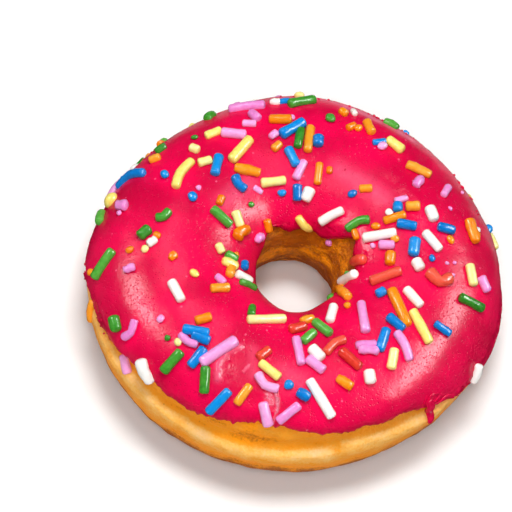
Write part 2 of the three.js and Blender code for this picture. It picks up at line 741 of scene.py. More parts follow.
@dataclass
class DoughRing:
    """The fried ring: an upper roll, a crease with its pale proof line, and a lower roll."""

    middle_radius: float = 27.0  # millimetres, as all its sizes
    line_height: float = 16.3
    line_width: float = 0.5
    line_fade: float = 2.6
    line_rise: float = 0.75
    pale_rise: float = 0.6
    pale_above: float = 0.5
    pale_below: float = 2.4
    crease_over_line: float = 2.3
    crease_depth: float = 0.45
    break_around: float = 291.5
    lumps: tuple[tuple[float, float], ...] = ((11.0, 0.42), (4.2, 0.3), (1.7, 0.14))
    rim_radius: float = 45.0
    wrinkle_depth: float = 0.24
    fold_depth: float = 0.32
    levels: int = 2
    piece: bpy.types.Object | None = field(default=None, init=False)

    def build(self) -> bpy.types.Object:
        """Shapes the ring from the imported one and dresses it.

        Returns:
            The dough.
        """
        self.piece = merged_copy("dough_ring", "fried_dough")
        round_off(self.piece, self.levels)
        self._shape()
        edit(self.piece, lambda: bpy.ops.mesh.normals_make_consistent(inside=False))
        self.piece.data.shade_smooth()
        self.piece.data.materials.append(CrustFinish().material())
        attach(self.piece, "root")
        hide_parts("dough_ring")
        return self.piece

    def line_at(self, around: float) -> tuple[float, float]:
        """The proof line's height and how plainly it shows, at one place round the ring.

        Args:
            around: degrees.

        Returns:
            The height in millimetres, and how plainly from 0 to about 1.
        """
        x, y = math.cos(math.radians(around)), math.sin(math.radians(around))
        after = turn_between(around, self.break_around)
        step = 1.1 * smooth(0, 1.5, after) * (1 - smooth(14, 34, after))
        x, y = x * self.rim_radius, y * self.rim_radius
        height = self.line_height + step + 0.5 * ripple(x, y, 3, 16, 4)
        gap = 1 - 0.75 * bump_at(after, 0, 1.6)
        return height, gap * (0.75 + 0.35 * ripple(x, y, 8, 7, 9))

    def _shape(self) -> None:
        """Moves the points off the plain ring and paints how brown each place is."""
        points = points_of(self.piece) / MM
        normals = [v.normal.copy() for v in self.piece.data.vertices]
        bake_and_shade = []
        for i, point in enumerate(points):
            x, y, z = points[i] = leaned(*point)
            around = math.degrees(math.atan2(y, x)) % 360
            outside = math.hypot(x, y) > self.middle_radius
            move = sum(rise * ripple(x, y, z, size, size) for size, rise in self.lumps)
            if outside:
                shift, brown = self._flank(around, x, y, z)
            else:
                shift, brown = self._hole_wall(around, z)
            settled = smooth(0.2, 3.0, z)
            points[i] += np.array(normals[i]) * (move + shift) * settled
            points[i][2] = max(points[i][2], 0.0)
            bake_and_shade.append(brown)
        set_points(self.piece, points * MM)
        paint(self.piece, "bake_and_shade", bake_and_shade)

    def _flank(self, around: float, x: float, y: float, z: float) -> tuple[float, float]:
        """How far the outer flank moves, and how brown it is, at one point.

        Args:
            around: degrees.
            x: millimetres.
            y: millimetres.
            z: millimetres.

        Returns:
            The way out in millimetres, and the brown from 0 to about 1.
        """
        line, strength = self.line_at(around)
        over = z - line
        front = 0.5 - 0.5 * math.cos(math.radians(turn_between(around, 90)))
        spread = self.line_width if over > 0 else self.line_fade
        lip = self.line_rise * strength * bump_at(over, 0, spread)
        crease = self.crease_depth * bump_at(over, self.crease_over_line, 1.3)
        run = math.radians(around) * self.rim_radius
        wrinkle = self.wrinkle_depth * ripple(run / 3, z, 0, 1.5, 2) * bump_at(over, 0.5, 3)
        brown = 0.5
        below = over - self.pale_rise
        fade = self.pale_above if below > 0 else self.pale_below
        brown -= 0.38 * strength * bump_at(below, 0, fade) * (0.55 + 0.45 * front)
        brown += 0.18 * smooth(0.9, 2.0, over) * (0.5 + 0.5 * front)
        # Darker toward the bottom: the browner fried underside, and painted shade near the contact
        # with the table.
        brown += 0.3 * (1 - smooth(3, 13, z)) + 0.38 * (1 - smooth(9, 16.5, z))
        brown += 0.14 * ripple(x, y, z, 8, 5)
        return lip - crease + wrinkle, brown

    def _hole_wall(self, around: float, z: float) -> tuple[float, float]:
        """How far the wall of the hole moves, and how brown it is, at one point.

        Args:
            around: degrees.
            z: millimetres.

        Returns:
            The way out in millimetres, and the brown from 0 to about 1.
        """
        along = math.radians(around) * 9 / 4
        fold = ripple(along, z, 0, 3.2, 7) + 0.5 * ripple(along, z, 5, 1.3, 8)
        light_side = bump_at(turn_between(around, 20), 0, 40)
        brown = 0.98 + 0.08 * light_side + 0.26 * fold
        brown -= 0.18 * bump_at(z, 14.5, 2.0)
        return self.fold_depth * fold * smooth(2, 7, z), brown


@dataclass(frozen=True)
class Fold:
    """A fold in the icing's skin, or a stripe of painted highlight on it, along a line seen from
    above, in millimetres.
    """

    line: tuple[tuple[float, float], ...]
    width: float
    height: float
    torn: float
    # How much painted highlight lies along the line, from 0 to 1.
    pale: float

    def distance(self, x: float, y: float) -> float:
        """How far a point is from the line, seen from above.

        Args:
            x: millimetres.
            y: millimetres.

        Returns:
            The distance in millimetres.
        """
        nearest = math.inf
        for (x0, y0), (x1, y1) in zip(self.line, self.line[1:]):
            along_x, along_y = x1 - x0, y1 - y0
            share = ((x - x0) * along_x + (y - y0) * along_y) / (along_x**2 + along_y**2)
            share = min(max(share, 0.0), 1.0)
            off_x, off_y = x - x0 - share * along_x, y - y0 - share * along_y
            nearest = min(nearest, math.hypot(off_x, off_y))
        return nearest


@dataclass
class Icing:
    """The pink icing over the crown, with its frayed edge, a drip, the folds in its skin, and
    stripes of painted highlight.

    Sizes are in millimetres. A run is where the edge hangs lower or higher: its middle and its
    width in degrees round the ring, and how far it goes down.
    """

    middle_radius: float = 27.0
    sink: float = 0.36
    full_thickness: float = 1.7
    least_gap: float = 0.05
    fray: tuple[tuple[float, float], ...] = ((6.0, 0.9), (2.2, 0.8), (1.0, 0.95))
    fray_reach: float = 2.4
    # How far up from the edge the painted edge shade reaches.
    lip_reach: float = 3.8
    fine_reach: float = 3.0
    hole_runs: tuple[tuple[float, float, float], ...] = (
        (141, 15, -2.6),
        (60, 15, 0.9),
        (29, 8, -2.4),
        (3, 9, 1.0),
    )
    swells: tuple[tuple[float, float], ...] = ((17.0, 0.45), (6.5, 0.2), (3.0, 0.06))
    patch: tuple[float, float, float] = (-9.2, -34.9, 2.1)  # wrinkled: its middle and its width
    # The last number of each fold is painted highlight along its crest, standing in for the light
    # it catches.
    folds: tuple[Fold, ...] = (
        Fold(
            ((-8.6, -28.6), (-10.9, -30.6), (-12.3, -33.4), (-11.7, -36.6)), 0.8, 0.55, 0.0, 0.75
        ),
        Fold(((-5.5, -28.4), (-4.4, -34.6)), 1.3, 0.2, 0.0, 0.3),
        Fold(((1.5, -31.5), (5.2, -33.2)), 2.2, 0.15, 0.0, 0.3),
        Fold(((-5.8, -32.4), (-6.6, -34.0)), 0.25, 0.2, 0.3, 0.8),
        Fold(((0.9, -36.8), (1.8, -38.8), (1.9, -40.6)), 0.32, 0.5, 0.95, 0.5),
        Fold(((-0.4, -37.8), (0.3, -39.3)), 0.75, 0.3, 0.8, 0.3),
        Fold(((1.9, -40.6), (1.7, -42.3)), 0.25, 0.3, 0.5, 0.3),
    )
    # Stripes of painted highlight and painted reflection: on the hole's far rim, right and left,
    # and along the far outer rim.
    veils: tuple[Fold, ...] = (
        Fold(((4.5, 21.0), (10.7, 18.8), (15.5, 16.0)), 2.4, 0.0, 0.0, 0.5),
        Fold(((-14.5, 13.0), (-16.4, 10.5), (-18.8, 6.8)), 2.2, 0.0, 0.0, 0.5),
        Fold(((-6.0, 42.7), (0.3, 42.4), (3.7, 41.4)), 0.8, 0.0, 0.0, 0.55),
        Fold(((3.7, 41.4), (7.0, 40.6), (13.0, 38.5), (19.5, 35.3)), 1.0, 0.0, 0.0, 0.95),
    )
    outer_runs: tuple[tuple[float, float, float], ...] = (
        (211, 7, 0.9),
        (222, 6, 0.6),
        (242, 7, 0.35),
        (254, 6, 0.3),
        (274, 7, -0.65),
        (330, 10, 0.55),
    )
    outer_hang: float = 0.4
    hole_calm: float = 0.45  # how far the edge in the hole wanders, as a share of the outer one
    far_swell: float = 0.5
    far_swell_around: float = 38
    far_swell_spread: float = 30
    folded_around: tuple[float, float] = (242, 284)
    folded_radius: tuple[float, float] = (27.5, 45)
    folded_above: float = 18
    lip_strands: tuple[tuple[Place, ...], ...] = (
        ((319.4, 20.5), (319.8, 26.5), (321.3, 29.5), (322.9, 29.0), (325.2, 24.0)),
        ((321.2, 20.0), (322.2, 22.5), (323.7, 24.0), (325.0, 25.5)),
        ((322.5, 19.0), (324.2, 18.4), (325.7, 19.4), (327.8, 17.8), (329.6, 13.5)),
        ((323.4, 17.4), (325.7, 16.6), (329.1, 11.0), (332.8, 2.5)),
        ((318.2, 23.5), (318.8, 27.5), (320.2, 31.5)),
    )
    strand_mm: float = 0.34
    strand_lift: float = 0.02
    # How much of the edge's painted shade the drip and strands take.
    run_lip: float = 0.3
    levels: int = 2
    edge_step: int = 5  # degrees
    drip_places: tuple[Place, ...] = (
        (320.4, 27), (320.6, 22), (320.8, 18), (320.8, 14.5), (320.5, 11.5), (320.3, 9), (320.1, 7)
    )
    drip_lifts: tuple[float, ...] = (0.1, 0.6, 0.55, 0.4, 0.3, 0.3, 0.3)
    drip_widths: tuple[float, ...] = (0.95, 1.05, 1.05, 1.0, 0.95, 0.88, 0.74)
    piece: bpy.types.Object | None = field(default=None, init=False)
    bed: BVHTree | None = field(default=None, init=False)
    edges: dict[bool, list[float]] = field(default_factory=dict, init=False)

    def build(self, dough: bpy.types.Object) -> bpy.types.Object:
        """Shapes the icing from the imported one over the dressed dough.

        Args:
            dough: the dressed dough.

        Returns:
            The icing.
        """
        self.piece = merged_copy("icing", "pink_icing")
        round_off(self.piece, self.levels)
        self.bed = tree_of(dough)
        self._measure_edges()
        self._refine(lambda point: self._over_edge(point) < self.fine_reach, cuts=1)
        self._refine(self._in_folds, cuts=2)
        self._shape()
        edit(self.piece, lambda: bpy.ops.mesh.normals_make_consistent(inside=False))
        self.piece.data.shade_smooth()
        self.piece.data.materials.append(IcingFinish().material())
        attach(self.piece, "root")
        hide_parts("icing")
        return self.piece

    def _refine(self, wanted: Callable[[Vector], bool], cuts: int) -> None:
        """Makes part of the icing's outside finer, and leaves its hidden underside as it is.

        Args:
            wanted: whether to refine at a point, in millimetres.
            cuts: how many cuts each edge gets.
        """
        select_faces(
            self.piece,
            lambda middle, normal: wanted(middle / MM) and self._faces_out(middle, normal),
        )
        edit(self.piece, lambda: bpy.ops.mesh.subdivide(number_cuts=cuts), every=False)

    def _faces_out(self, middle: Vector, normal: Vector) -> bool:
        """Whether a face is on the icing's outside, and not on its hidden underside."""
        foot, _, _, _ = self.bed.find_nearest(middle)
        return (middle - foot).dot(normal) > 0

    def _measure_edges(self) -> None:
        """Notes the height of both edges, every few degrees round the ring."""
        points = points_of(self.piece) / MM
        around = np.degrees(np.arctan2(points[:, 1], points[:, 0])) % 360
        outside = np.hypot(points[:, 0], points[:, 1]) > self.middle_radius
        steps = (around / self.edge_step).astype(int)
        self.edges = {
            side: [
                points[(outside == side) & (steps == step), 2].min()
                for step in range(360 // self.edge_step)
            ]
            for side in (True, False)
        }

    def _edge_height(self, around: float, outside: bool) -> float:
        """The height of one edge at one place round the ring.

        Args:
            around: degrees.
            outside: whether it is the outer edge.

        Returns:
            The height in millimetres.
        """
        heights = self.edges[outside]
        step = around / self.edge_step - 0.5
        low = math.floor(step)
        share = step - low
        start, end = heights[low % len(heights)], heights[(low + 1) % len(heights)]
        return start * (1 - share) + end * share

    def _over_edge(self, point: Vector) -> float:
        """How far a point is above the nearer edge.

        Args:
            point: the point, in millimetres.

        Returns:
            The height over the edge in millimetres.
        """
        around = math.degrees(math.atan2(point.y, point.x)) % 360
        outside = math.hypot(point.x, point.y) > self.middle_radius
        return point.z - self._edge_height(around, outside)

    def _in_folds(self, point: Vector) -> bool:
        """Whether a point is where the skin is folded.

        Args:
            point: the point, in millimetres.

        Returns:
            Whether it is.
        """
        around = math.degrees(math.atan2(point.y, point.x)) % 360
        radius = math.hypot(point.x, point.y)
        (first, last), (near, far) = self.folded_around, self.folded_radius
        return first < around < last and near < radius < far and point.z > self.folded_above

    def _folded(self, x: float, y: float, z: float) -> tuple[float, float, float]:
        """How high the skin's folds stand at one point, how broken it is, and how much painted
        highlight it carries.

        Args:
            x: millimetres.
            y: millimetres.
            z: millimetres.

        Returns:
            The height in millimetres, and the other two from 0 to 1.
        """
        out = math.hypot(x - self.patch[0], y - self.patch[1])
        wrinkled = bump_at(out, 0, self.patch[2])
        height = wrinkled * 0.5 * ripple(x, y * 0.6, 0, 1.0, 3)
        broken = 0.1 * wrinkled
        # Painted highlight: pale stripes along the listed lines, and along the fold crests below.
        pale = sum(
            veil.pale * bump_at(veil.distance(x, y), 0, veil.width) for veil in self.veils
        )
        if self._in_folds(Vector((x, y, z))):
            for fold in self.folds:
                crest = bump_at(fold.distance(x, y), 0, fold.width)
                height += crest * (fold.height + 0.5 * fold.torn * ripple(x, y, 0, 0.8, 1))
                broken += crest * fold.torn
                pale += crest * fold.pale
        return height, min(broken, 1), min(pale, 1)

    def _shape(self) -> None:
        """Frays the edges, lays the icing on the dough, and swells and folds its skin."""
        points = points_of(self.piece) / MM
        crackle, veil, lip = [], [], []
        for i, point in enumerate(points):
            x, y, z = leaned(*point)
            here = Vector((x, y, z))
            radius = math.hypot(x, y)
            around = math.degrees(math.atan2(y, x)) % 360
            outside = radius > self.middle_radius
            foot, normal, _, _ = self.bed.find_nearest(here * MM)
            gap = (here - foot / MM).dot(normal)
            over = self._over_edge(here)
            near_edge = bump_at(max(over, 0), 0, self.fray_reach)
            slide = self._fray_at(x, y, around, outside) * near_edge
            tangent = Vector((-y, x, 0)).normalized().cross(normal)
            tangent = tangent if tangent.z < 0 else -tangent
            foot, normal, _, _ = self.bed.find_nearest((here + tangent * slide) * MM)
            sunk = self.sink * (1 - smooth(0.5, self.full_thickness, gap))
            top = smooth(0.6, self.full_thickness, gap)
            swell = sum(rise * ripple(x, y, z, size, size) for size, rise in self.swells)
            # The third number is the painted highlight here.
            fold, broken, pale = self._folded(x, y, z)
            if outside:
                aside = turn_between(around, self.far_swell_around)
                swell += self.far_swell * bump_at(aside, 0, self.far_swell_spread)
            gap = max(gap - sunk + (swell + fold) * top, self.least_gap)
            points[i] = np.array(foot / MM + normal * gap)
            crackle.append(broken)
            veil.append(pale)
            # Painted shade along the edge: strongest at the edge, gone a little way up.
            lip.append(1 - smooth(0.3, self.lip_reach, over))
        set_points(self.piece, points * MM)
        paint(self.piece, "crackle", crackle)
        paint(self.piece, "veil", veil)
        paint(self.piece, "lip", lip)

    def _fray_at(self, x: float, y: float, around: float, outside: bool) -> float:
        """How far the edge runs down the dough at one place round the ring.

        Args:
            x: millimetres.
            y: millimetres.
            around: degrees.
            outside: whether it is the outer edge.

        Returns:
            The way down in millimetres.
        """
        scale = 1.0 if outside else self.hole_calm
        rough = scale * (0.35 + 0.65 * smooth(-0.25, 0.3, ripple(x, y, 0, 9, 6)))
        size, depth = self.fray[0]
        run = scale * depth * ripple(x, y, 0, size, size)
        run += rough * sum(depth * ripple(x, y, 0, size, size) for size, depth in self.fray[1:])
        run += self.outer_hang if outside else 0.0
        runs = self.outer_runs if outside else self.hole_runs
        return run + sum(
            depth * bump_at(turn_between(around, middle), 0, width)
            for middle, width, depth in runs
        )

    def add_drip(self, surface: RingSurface, mould: bpy.types.Object) -> None:
        """Runs a narrow drip from the outer edge down the dough, and strands along the edge by it.

        Args:
            surface: the outside of the ring with its icing on.
            mould: the shape that it is pressed from.
        """
        spine = [
            surface.over(place, lift * MM, seen=False)
            for place, lift in zip(self.drip_places, self.drip_lifts)
        ]
        widths = [width * MM for width in self.drip_widths]
        runs = [press(mould, spine, widths, flatness=0.6, lumpiness=0.08)]
        for number, places in enumerate(self.lip_strands):
            spine = [surface.over(place, self.strand_lift * MM, seen=False) for place in places]
            shares = np.linspace(0, math.pi, len(places))
            widths = [self.strand_mm * MM * (0.55 + 0.45 * math.sin(share)) for share in shares]
            runs.append(press(mould, spine, widths, flatness=0.75, lumpiness=0.5, seed=number))
        for run in runs:
            run.data.materials.append(self.piece.data.materials[0])
            # The drip and strands get no painted highlight, and some of the edge's painted shade.
            paint_even(run, crackle=0.0, veil=0.0, lip=self.run_lip)
        join([self.piece, *runs])


# ---------------- sprinkles


def along(spine: list[tuple[Vector, Vector]], share: float) -> tuple[Vector, Vector, Vector]:
    """Follows a smooth line through points.

    Args:
        spine: each point with the normal under it.
        share: how far along, from 0 to 1.

    Returns:
        The place, the direction, and the normal.
    """
    last = len(spine) - 1
    first = min(int(share * last), last - 1)
    part = share * last - first
    before = spine[max(first - 1, 0)][0]
    start, end = spine[first][0], spine[first + 1][0]
    after = spine[min(first + 2, last)][0]
    lean_start = (end - before) / (2 if first > 0 else 1)
    lean_end = (after - start) / (2 if first + 2 <= last else 1)
    p2, p3 = part * part, part**3
    place = (
        start * (2 * p3 - 3 * p2 + 1)
        + lean_start * (p3 - 2 * p2 + part)
        + end * (3 * p2 - 2 * p3)
        + lean_end * (p3 - p2)
    )
    direction = (
        (start - end) * (6 * p2 - 6 * part)
        + lean_start * (3 * p2 - 4 * part + 1)
        + lean_end * (3 * p2 - 2 * part)
    )
    normal = spine[first][1].lerp(spine[first + 1][1], part)
    return place, direction.normalized(), normal.normalized()


def press(
    mould: bpy.types.Object,
    spine: list[tuple[Vector, Vector]],
    widths: list[float],
    flatness: float = 1.0,
    lumpiness: float = 0.0,
    seed: float = 0.0,
) -> bpy.types.Object:
    """Presses a copy of a mould along a spine.

    Args:
        mould: a shape along Z, whose shank is from -1 to 1 and whose ends stand past that.
        spine: two or more points, each with the normal under it.
        widths: the half width at each point of the spine.
        flatness: its height as a share of its width.
        lumpiness: how uneven its width is.
        seed: picks another unevenness.

    Returns:
        The copy, with its own mesh.
    """
    copy = copy_of(mould, mould.name)
    shaped = []
    stations = np.linspace(0, 1, len(widths))
    for x, y, z in points_of(mould):
        share = (min(max(z, -1.0), 1.0) + 1) / 2
        place, direction, normal = along(spine, share)
        side = direction.cross(normal).normalized()
        rise = side.cross(direction)
        width = float(np.interp(share, stations, widths))
        past = (z - 1 if z > 1 else z + 1 if z < -1 else 0.0) * width
        swell = 1 + lumpiness * ripple(x, y, z * 2.5, LUMP_SIZE, seed)
        shaped.append(place + direction * past + (side * x + rise * y * flatness) * width * swell)
    set_points(copy, np.array(shaped))
    return copy


class Mould:
    """Makes the plain shapes that sprinkles, drip and strands are pressed from, each once."""

    @staticmethod
    def _named(piece: bpy.types.Object, name: str) -> bpy.types.Object:
        """Names a finished mould.

        Args:
            piece: the mould.
            name: its name.

        Returns:
            The mould.
        """
        piece.name = name
        piece.data.shade_smooth()
        return piece

    @classmethod
    def rod(cls, sides: int, rings: int, name: str) -> bpy.types.Object:
        """A straight rod with rounded ends.

        Args:
            sides: how many faces round it.
            rings: how many cuts across its shank.
            name: the mould's name.

        Returns:
            The mould.
        """
        deselect()
        bpy.ops.mesh.primitive_cylinder_add(vertices=sides, radius=1, depth=2)
        piece = bpy.context.object
        for cut in range(1, rings + 1):
            height = -1 + 2 * cut / (rings + 1)
            edit(
                piece,
                lambda: bpy.ops.mesh.bisect(plane_co=(0, 0, height), plane_no=(0, 0, 1)),
            )
        for end in (1, -1):
            for narrowing, step in ((0.09, 0.28), (0.3, 0.2)):
                select_faces(piece, lambda _, normal: normal.z * end > 0.9)
                edit(
                    piece,
                    lambda: bpy.ops.mesh.inset(thickness=narrowing),
                    lambda: bpy.ops.transform.translate(value=(0, 0, end * step)),
                    every=False,
                )
        return cls._named(piece, name)

    @classmethod
    def bead(cls) -> bpy.types.Object:
        """A round bead, a little flattened, whose shank has no length to speak of.

        Returns:
            The mould.
        """
        deselect()
        bpy.ops.mesh.primitive_uv_sphere_add(segments=10, ring_count=7, radius=1)
        piece = bpy.context.object
        edit(piece, lambda: bpy.ops.transform.resize(value=(1, 0.92, 1)))
        return cls._named(piece, "bead_mould")


class Girth(Enum):
    """How thick a sprinkle is: half its width in millimetres."""

    SPECK = 0.38
    TINY = 0.57
    THIN = 0.74
    SLIM = 0.94
    PLAIN = 1.1
    THICK = 1.3
    BALL = 1.5


class Form(Enum):
    """How a sprinkle is shaped: its unevenness, and its height as a share of its width."""

    SMOOTH = (0.07, 1.0)
    LUMPY = (0.34, 0.95)
    SUNK = (0.1, 0.75)


@dataclass(frozen=True)
class Sprinkle:
    """One sprinkle: its two ends, and a place between where it bends, or one place for a bead."""

    places: tuple[Place, ...]
    girth: Girth = Girth.PLAIN
    form: Form = Form.SMOOTH
    lift_mm: float = 0.0
    seen: bool = True


SPECK, TINY, THIN, SLIM, PLAIN, THICK, BALL = Girth
SMOOTH, LUMPY, SUNK = Form


def rod(
    *places: Place, girth: Girth = PLAIN, form: Form = SMOOTH, lift: float = 0.0
) -> Sprinkle:
    """A rod from its first place to its last."""
    return Sprinkle(places, girth, form, lift)


def bead(around: float, tilt: float, girth: Girth = THIN, lift: float = 0.0) -> Sprinkle:
    """A bead at one place."""
    return Sprinkle(((around, tilt),), girth, LUMPY, lift)

WHITE = (
    rod((212.8, 77), (221.3, 77)), rod((230.2, 30), (233.8, 19), girth=THICK, lift=0.5),
    rod((216.5, 132.5), (222.5, 143)), rod((93.7, 130.5), (96.2, 136), girth=THICK),
    rod((72.5, 147), (66, 141), (60, 134.5)), rod((23.6, 131.5), (22, 121), (21.4, 112)),
    rod((18.7, 88.8), (11, 79.8)), rod((30.3, 80), (25.5, 80), girth=THICK),
    rod((3.3, 97), (0.3, 93.5), girth=THICK), rod((351, 160), (349.5, 141.5)),
    rod((346, 97.7), (342, 83)), rod((307.4, 132.5), (299.3, 121)),
    rod((285, 94), (288, 85.6), girth=THICK), rod((283, 66), (289.3, 42)),
    rod((305, 65.6), (304.3, 59.3), girth=THICK), rod((341.5, 13), (339, 4)), bead(22, 43, TINY),
    rod((109.8, 41), (107.5, 43), girth=THIN, form=LUMPY), rod((83, 41), (82, 45), girth=THIN),
    bead(36, 110), rod((194, 67.5), (192.5, 71.5), form=LUMPY),
)

PINK = (
    rod((168.5, 8), (161.5, 10)), rod((176.5, 38), (177, 44), girth=THICK, form=LUMPY),
    bead(180, 42, TINY), rod((202, 48.5), (202, 54), girth=SLIM, form=LUMPY),
    bead(161.5, 92.5, TINY), rod((219.6, 42), (221.6, 36.5), (221.3, 31), form=LUMPY),
    bead(224, 57.3), rod((233.5, 61), (236.5, 60.6), (239.5, 63), girth=SLIM),
    rod((245.2, 56.3), (250.3, 81.4), girth=THICK), rod((223.3, 15), (227, 11), form=SUNK),
    rod((131.6, 64), (125.2, 74.5)), rod((122.6, 62.5), (119, 66.5), girth=SLIM),
    rod((118, 53), (117, 61)), rod((122.3, 33), (113, 44)), bead(119, 22, SLIM),
    bead(104, 65.5, TINY), rod((114.5, 84), (112, 81), girth=SLIM, form=LUMPY),
    rod((99.5, 110), (104.5, 122)), bead(66.8, 69, SLIM), rod((45.3, 71.5), (44, 78), form=LUMPY),
    rod((38.8, 53.5), (36, 62), girth=SLIM), rod((39.8, 92), (40.8, 100.5), girth=THIN),
    rod((14.3, 122.5), (13, 114.5)), bead(14.5, 128, TINY),
    rod((136, 122), (133.5, 127), girth=THIN, form=SUNK),
    rod((158.5, 152.5), (162, 151), (166, 152), girth=SLIM, form=LUMPY),
    rod((216.5, 113), (221.5, 115.3), girth=SLIM), rod((264.2, 64.7), (267.3, 59), (271.5, 58.3)),
    rod((268.4, 46.3), (271, 33.5)), rod((274, 38.2), (279, 48.6)), rod((277, 103), (279.6, 81)),
    rod((283, 84.2), (288, 75)), rod((324, 81.3), (323, 71), (321, 61)),
    rod((305.8, 89), (312.8, 84), form=LUMPY), rod((306, 84.5), (312, 78.5), form=LUMPY),
    rod((323.4, 119.5), (313.3, 98)), rod((3.8, 44.2), (1.2, 38.2)),
    rod((54, 160), (50, 159), girth=THIN, form=SUNK), bead(37, 40, SPECK), bead(29.5, 63, SPECK),
    bead(5, 73, SPECK), bead(6, 67, SPECK), bead(0.5, 67, SPECK),
)

YELLOW = (
    bead(171.5, 20, BALL), rod((165.3, 76), (158.5, 72.6), (151.3, 72)), bead(196, 64),
    bead(211.5, 96.5), rod((137.3, 59), (132.3, 60), girth=SLIM), rod((145.5, 61.5), (145, 66.5)),
    rod((149.3, 78.5), (145.4, 82)), rod((124.4, 81.7), (136.5, 92.5), girth=THICK),
    rod((128.8, 121.5), (114, 123.5)), bead(100.1, 23, PLAIN, lift=0.6),
    rod((66.4, 59.5), (60.6, 61.3)), bead(234.5, 56), rod((162, 126.5), (168, 133.3)),
    rod((193, 121), (197, 123.5), girth=SLIM), rod((205, 124.8), (208.5, 134), form=LUMPY),
    rod((102.5, 148.5), (93, 153.5), (85, 157), girth=SLIM), rod((250, 105), (267.8, 124)),
    rod((264, 74), (271.2, 67)), rod((318, 71.8), (313.5, 62.5)), rod((337, 84.3), (331.3, 61)),
    rod((6.5, 54.5), (0.6, 50.3)),
)

ORANGE = (
    bead(190.5, 73), bead(195.3, 53.5), bead(196.5, 20), bead(15.7, 69.8), bead(30, 122.5),
    bead(17.5, 112.5), bead(316, 126), bead(78.5, 61.5),
    rod((201.5, 82), (200, 85), girth=SLIM, form=LUMPY), rod((156.2, 39), (154.6, 44), girth=SLIM),
    rod((203.5, 10), (206, -2), girth=SLIM), rod((112.3, 65.5), (105.2, 67.5)),
    rod((96.9, 76.5), (97.6, 98.5)), rod((111.6, 92.5), (114.7, 96), girth=SLIM),
    rod((90, 110), (88.7, 124), girth=SLIM), rod((83.5, 111), (83, 114), girth=THIN),
    rod((86.5, 46.5), (85, 49), girth=SLIM), rod((82, 65.5), (80.5, 60.5), girth=SLIM),
    rod((77, 50.5), (73.8, 59.5)), rod((53.4, 70), (46, 61.6), form=LUMPY),
    rod((35.2, 94.5), (33.3, 88)), rod((31.6, 115), (31.2, 101), girth=SLIM),
    rod((24.4, 49.5), (17.6, 47.8), girth=THICK, form=LUMPY),
    rod((6.8, 116.3), (0.8, 116.3), girth=THICK), rod((35, 136.5), (27, 137), girth=THIN),
    rod((60, 114), (56, 109), girth=SLIM), rod((138, 101), (128.3, 112.5), form=LUMPY),
    rod((159, 111.5), (163, 112.5), girth=SLIM),
    rod((167.5, 139.5), (173, 136), (179, 135), girth=THICK, form=LUMPY),
    rod((141.5, 146), (144, 152.5), girth=SLIM), rod((196, 136), (198.5, 136.5), girth=THIN),
    rod((211, 129), (216.5, 124.5), form=LUMPY), rod((223, 103.5), (226, 115)),
    rod((233, 76.5), (235, 85)), rod((262.5, 55), (260.8, 43), girth=SLIM),
    rod((281, 126), (288.5, 129), form=LUMPY),
    rod((342, 164), (339.5, 154), girth=SLIM, form=LUMPY), rod((330, 149), (323, 133), form=LUMPY),
    rod((341.7, 107.3), (330.5, 82), girth=THICK), rod((293.6, 66.5), (297, 59.7), form=LUMPY),
)

RED = (
    rod((9, 147), (3.5, 135.5), girth=THICK), rod((344, 124.7), (355.7, 108.5)),
    rod((358.8, 84.8), (355.8, 76), (358.7, 69.3), girth=THICK),
    rod((291.2, 90), (296.3, 97), (301, 97.6)), rod((298, 87.4), (302.2, 72.3)),
    rod((274, 112.6), (281.7, 118)), rod((262.3, 78.6), (265, 86.4)),
)

GREEN = (
    rod((175.5, 15), (179.5, 20)), rod((182.3, 72), (181.8, 76), (179, 79)),
    rod((190.2, 61.5), (188, 66), girth=THICK), rod((199.2, 25), (194.1, 40.5)),
    rod((214.7, 30.5), (217.5, 29), girth=THICK), bead(231, 53, TINY),
    rod((237.5, 52), (237.2, 37.5)), rod((247.3, 53.5), (250.5, 41)), rod((128, 27), (130.5, 32)),
    bead(141, 53, TINY), rod((149.3, 38), (151.8, 36), girth=SLIM), rod((101, 79), (102.6, 95)),
    rod((103.7, 47), (96.3, 37)), bead(89.7, 60.6, SLIM), rod((72.5, 31), (68.8, 32)),
    bead(146.5, 130.5, TINY), rod((169.2, 111), (173.3, 126)), rod((198.8, 128.5), (201.5, 134.5)),
    rod((224.3, 131.5), (227, 138), (231, 144), girth=THIN),
    rod((246.2, 118), (248.8, 111), girth=SLIM), rod((289.6, 122.5), (295.3, 107.5)),
    rod((286.6, 110.5), (281, 102)), rod((41.6, 139), (41.6, 131), (38, 125.5)),
    rod((356.5, 154), (359.5, 154), girth=THIN), rod((318, 152), (327, 156), girth=SLIM),
    rod((353.4, 56.5), (354.3, 39.3)),
)

BLUE = (
    rod((165, 16), (162.5, 28), (162.5, 42)), bead(161.7, 62, SLIM), bead(167.4, 92, SLIM),
    bead(117.5, 132), bead(62.1, 121), bead(6, 85.2), bead(275.5, 62.6, SLIM), bead(66, 24),
    rod((141.3, 84.5), (149, 94)), rod((142.4, 107.5), (144, 113), (143, 118.5)),
    rod((107, 43), (104.3, 42), girth=THIN), rod((109, 82.4), (100.3, 71.5), girth=THICK),
    rod((93, 85.5), (92.8, 91), girth=THICK), rod((107.6, 98.5), (104.3, 111.5)),
    rod((104, 128.5), (104.3, 136.5)), rod((70.3, 70), (67.4, 63.5), girth=THIN),
    rod((232.6, 65.7), (239.5, 74.5), lift=0.8), rod((236.5, 67.5), (241.8, 70.3), lift=0.7),
    rod((242.8, 63), (242.8, 50.5)), rod((257, 47), (254.2, 31)),
    rod((201.5, 145.5), (206.5, 144.5), girth=SLIM), rod((38.3, 101), (35.7, 103)),
    rod((26.8, 106.5), (23.3, 96)), rod((21.3, 77), (19.9, 67)),
    rod((15, 97.8), (8, 99.5), girth=THICK), rod((336, 115), (339.3, 113)),
    rod((327.4, 95), (327.4, 82)), rod((321, 88.5), (313.5, 78.5)),
    rod((338.5, 64.5), (338.8, 53.5), girth=SLIM, form=LUMPY),
    rod((279.3, 57.8), (282, 54.8), girth=THICK),
)


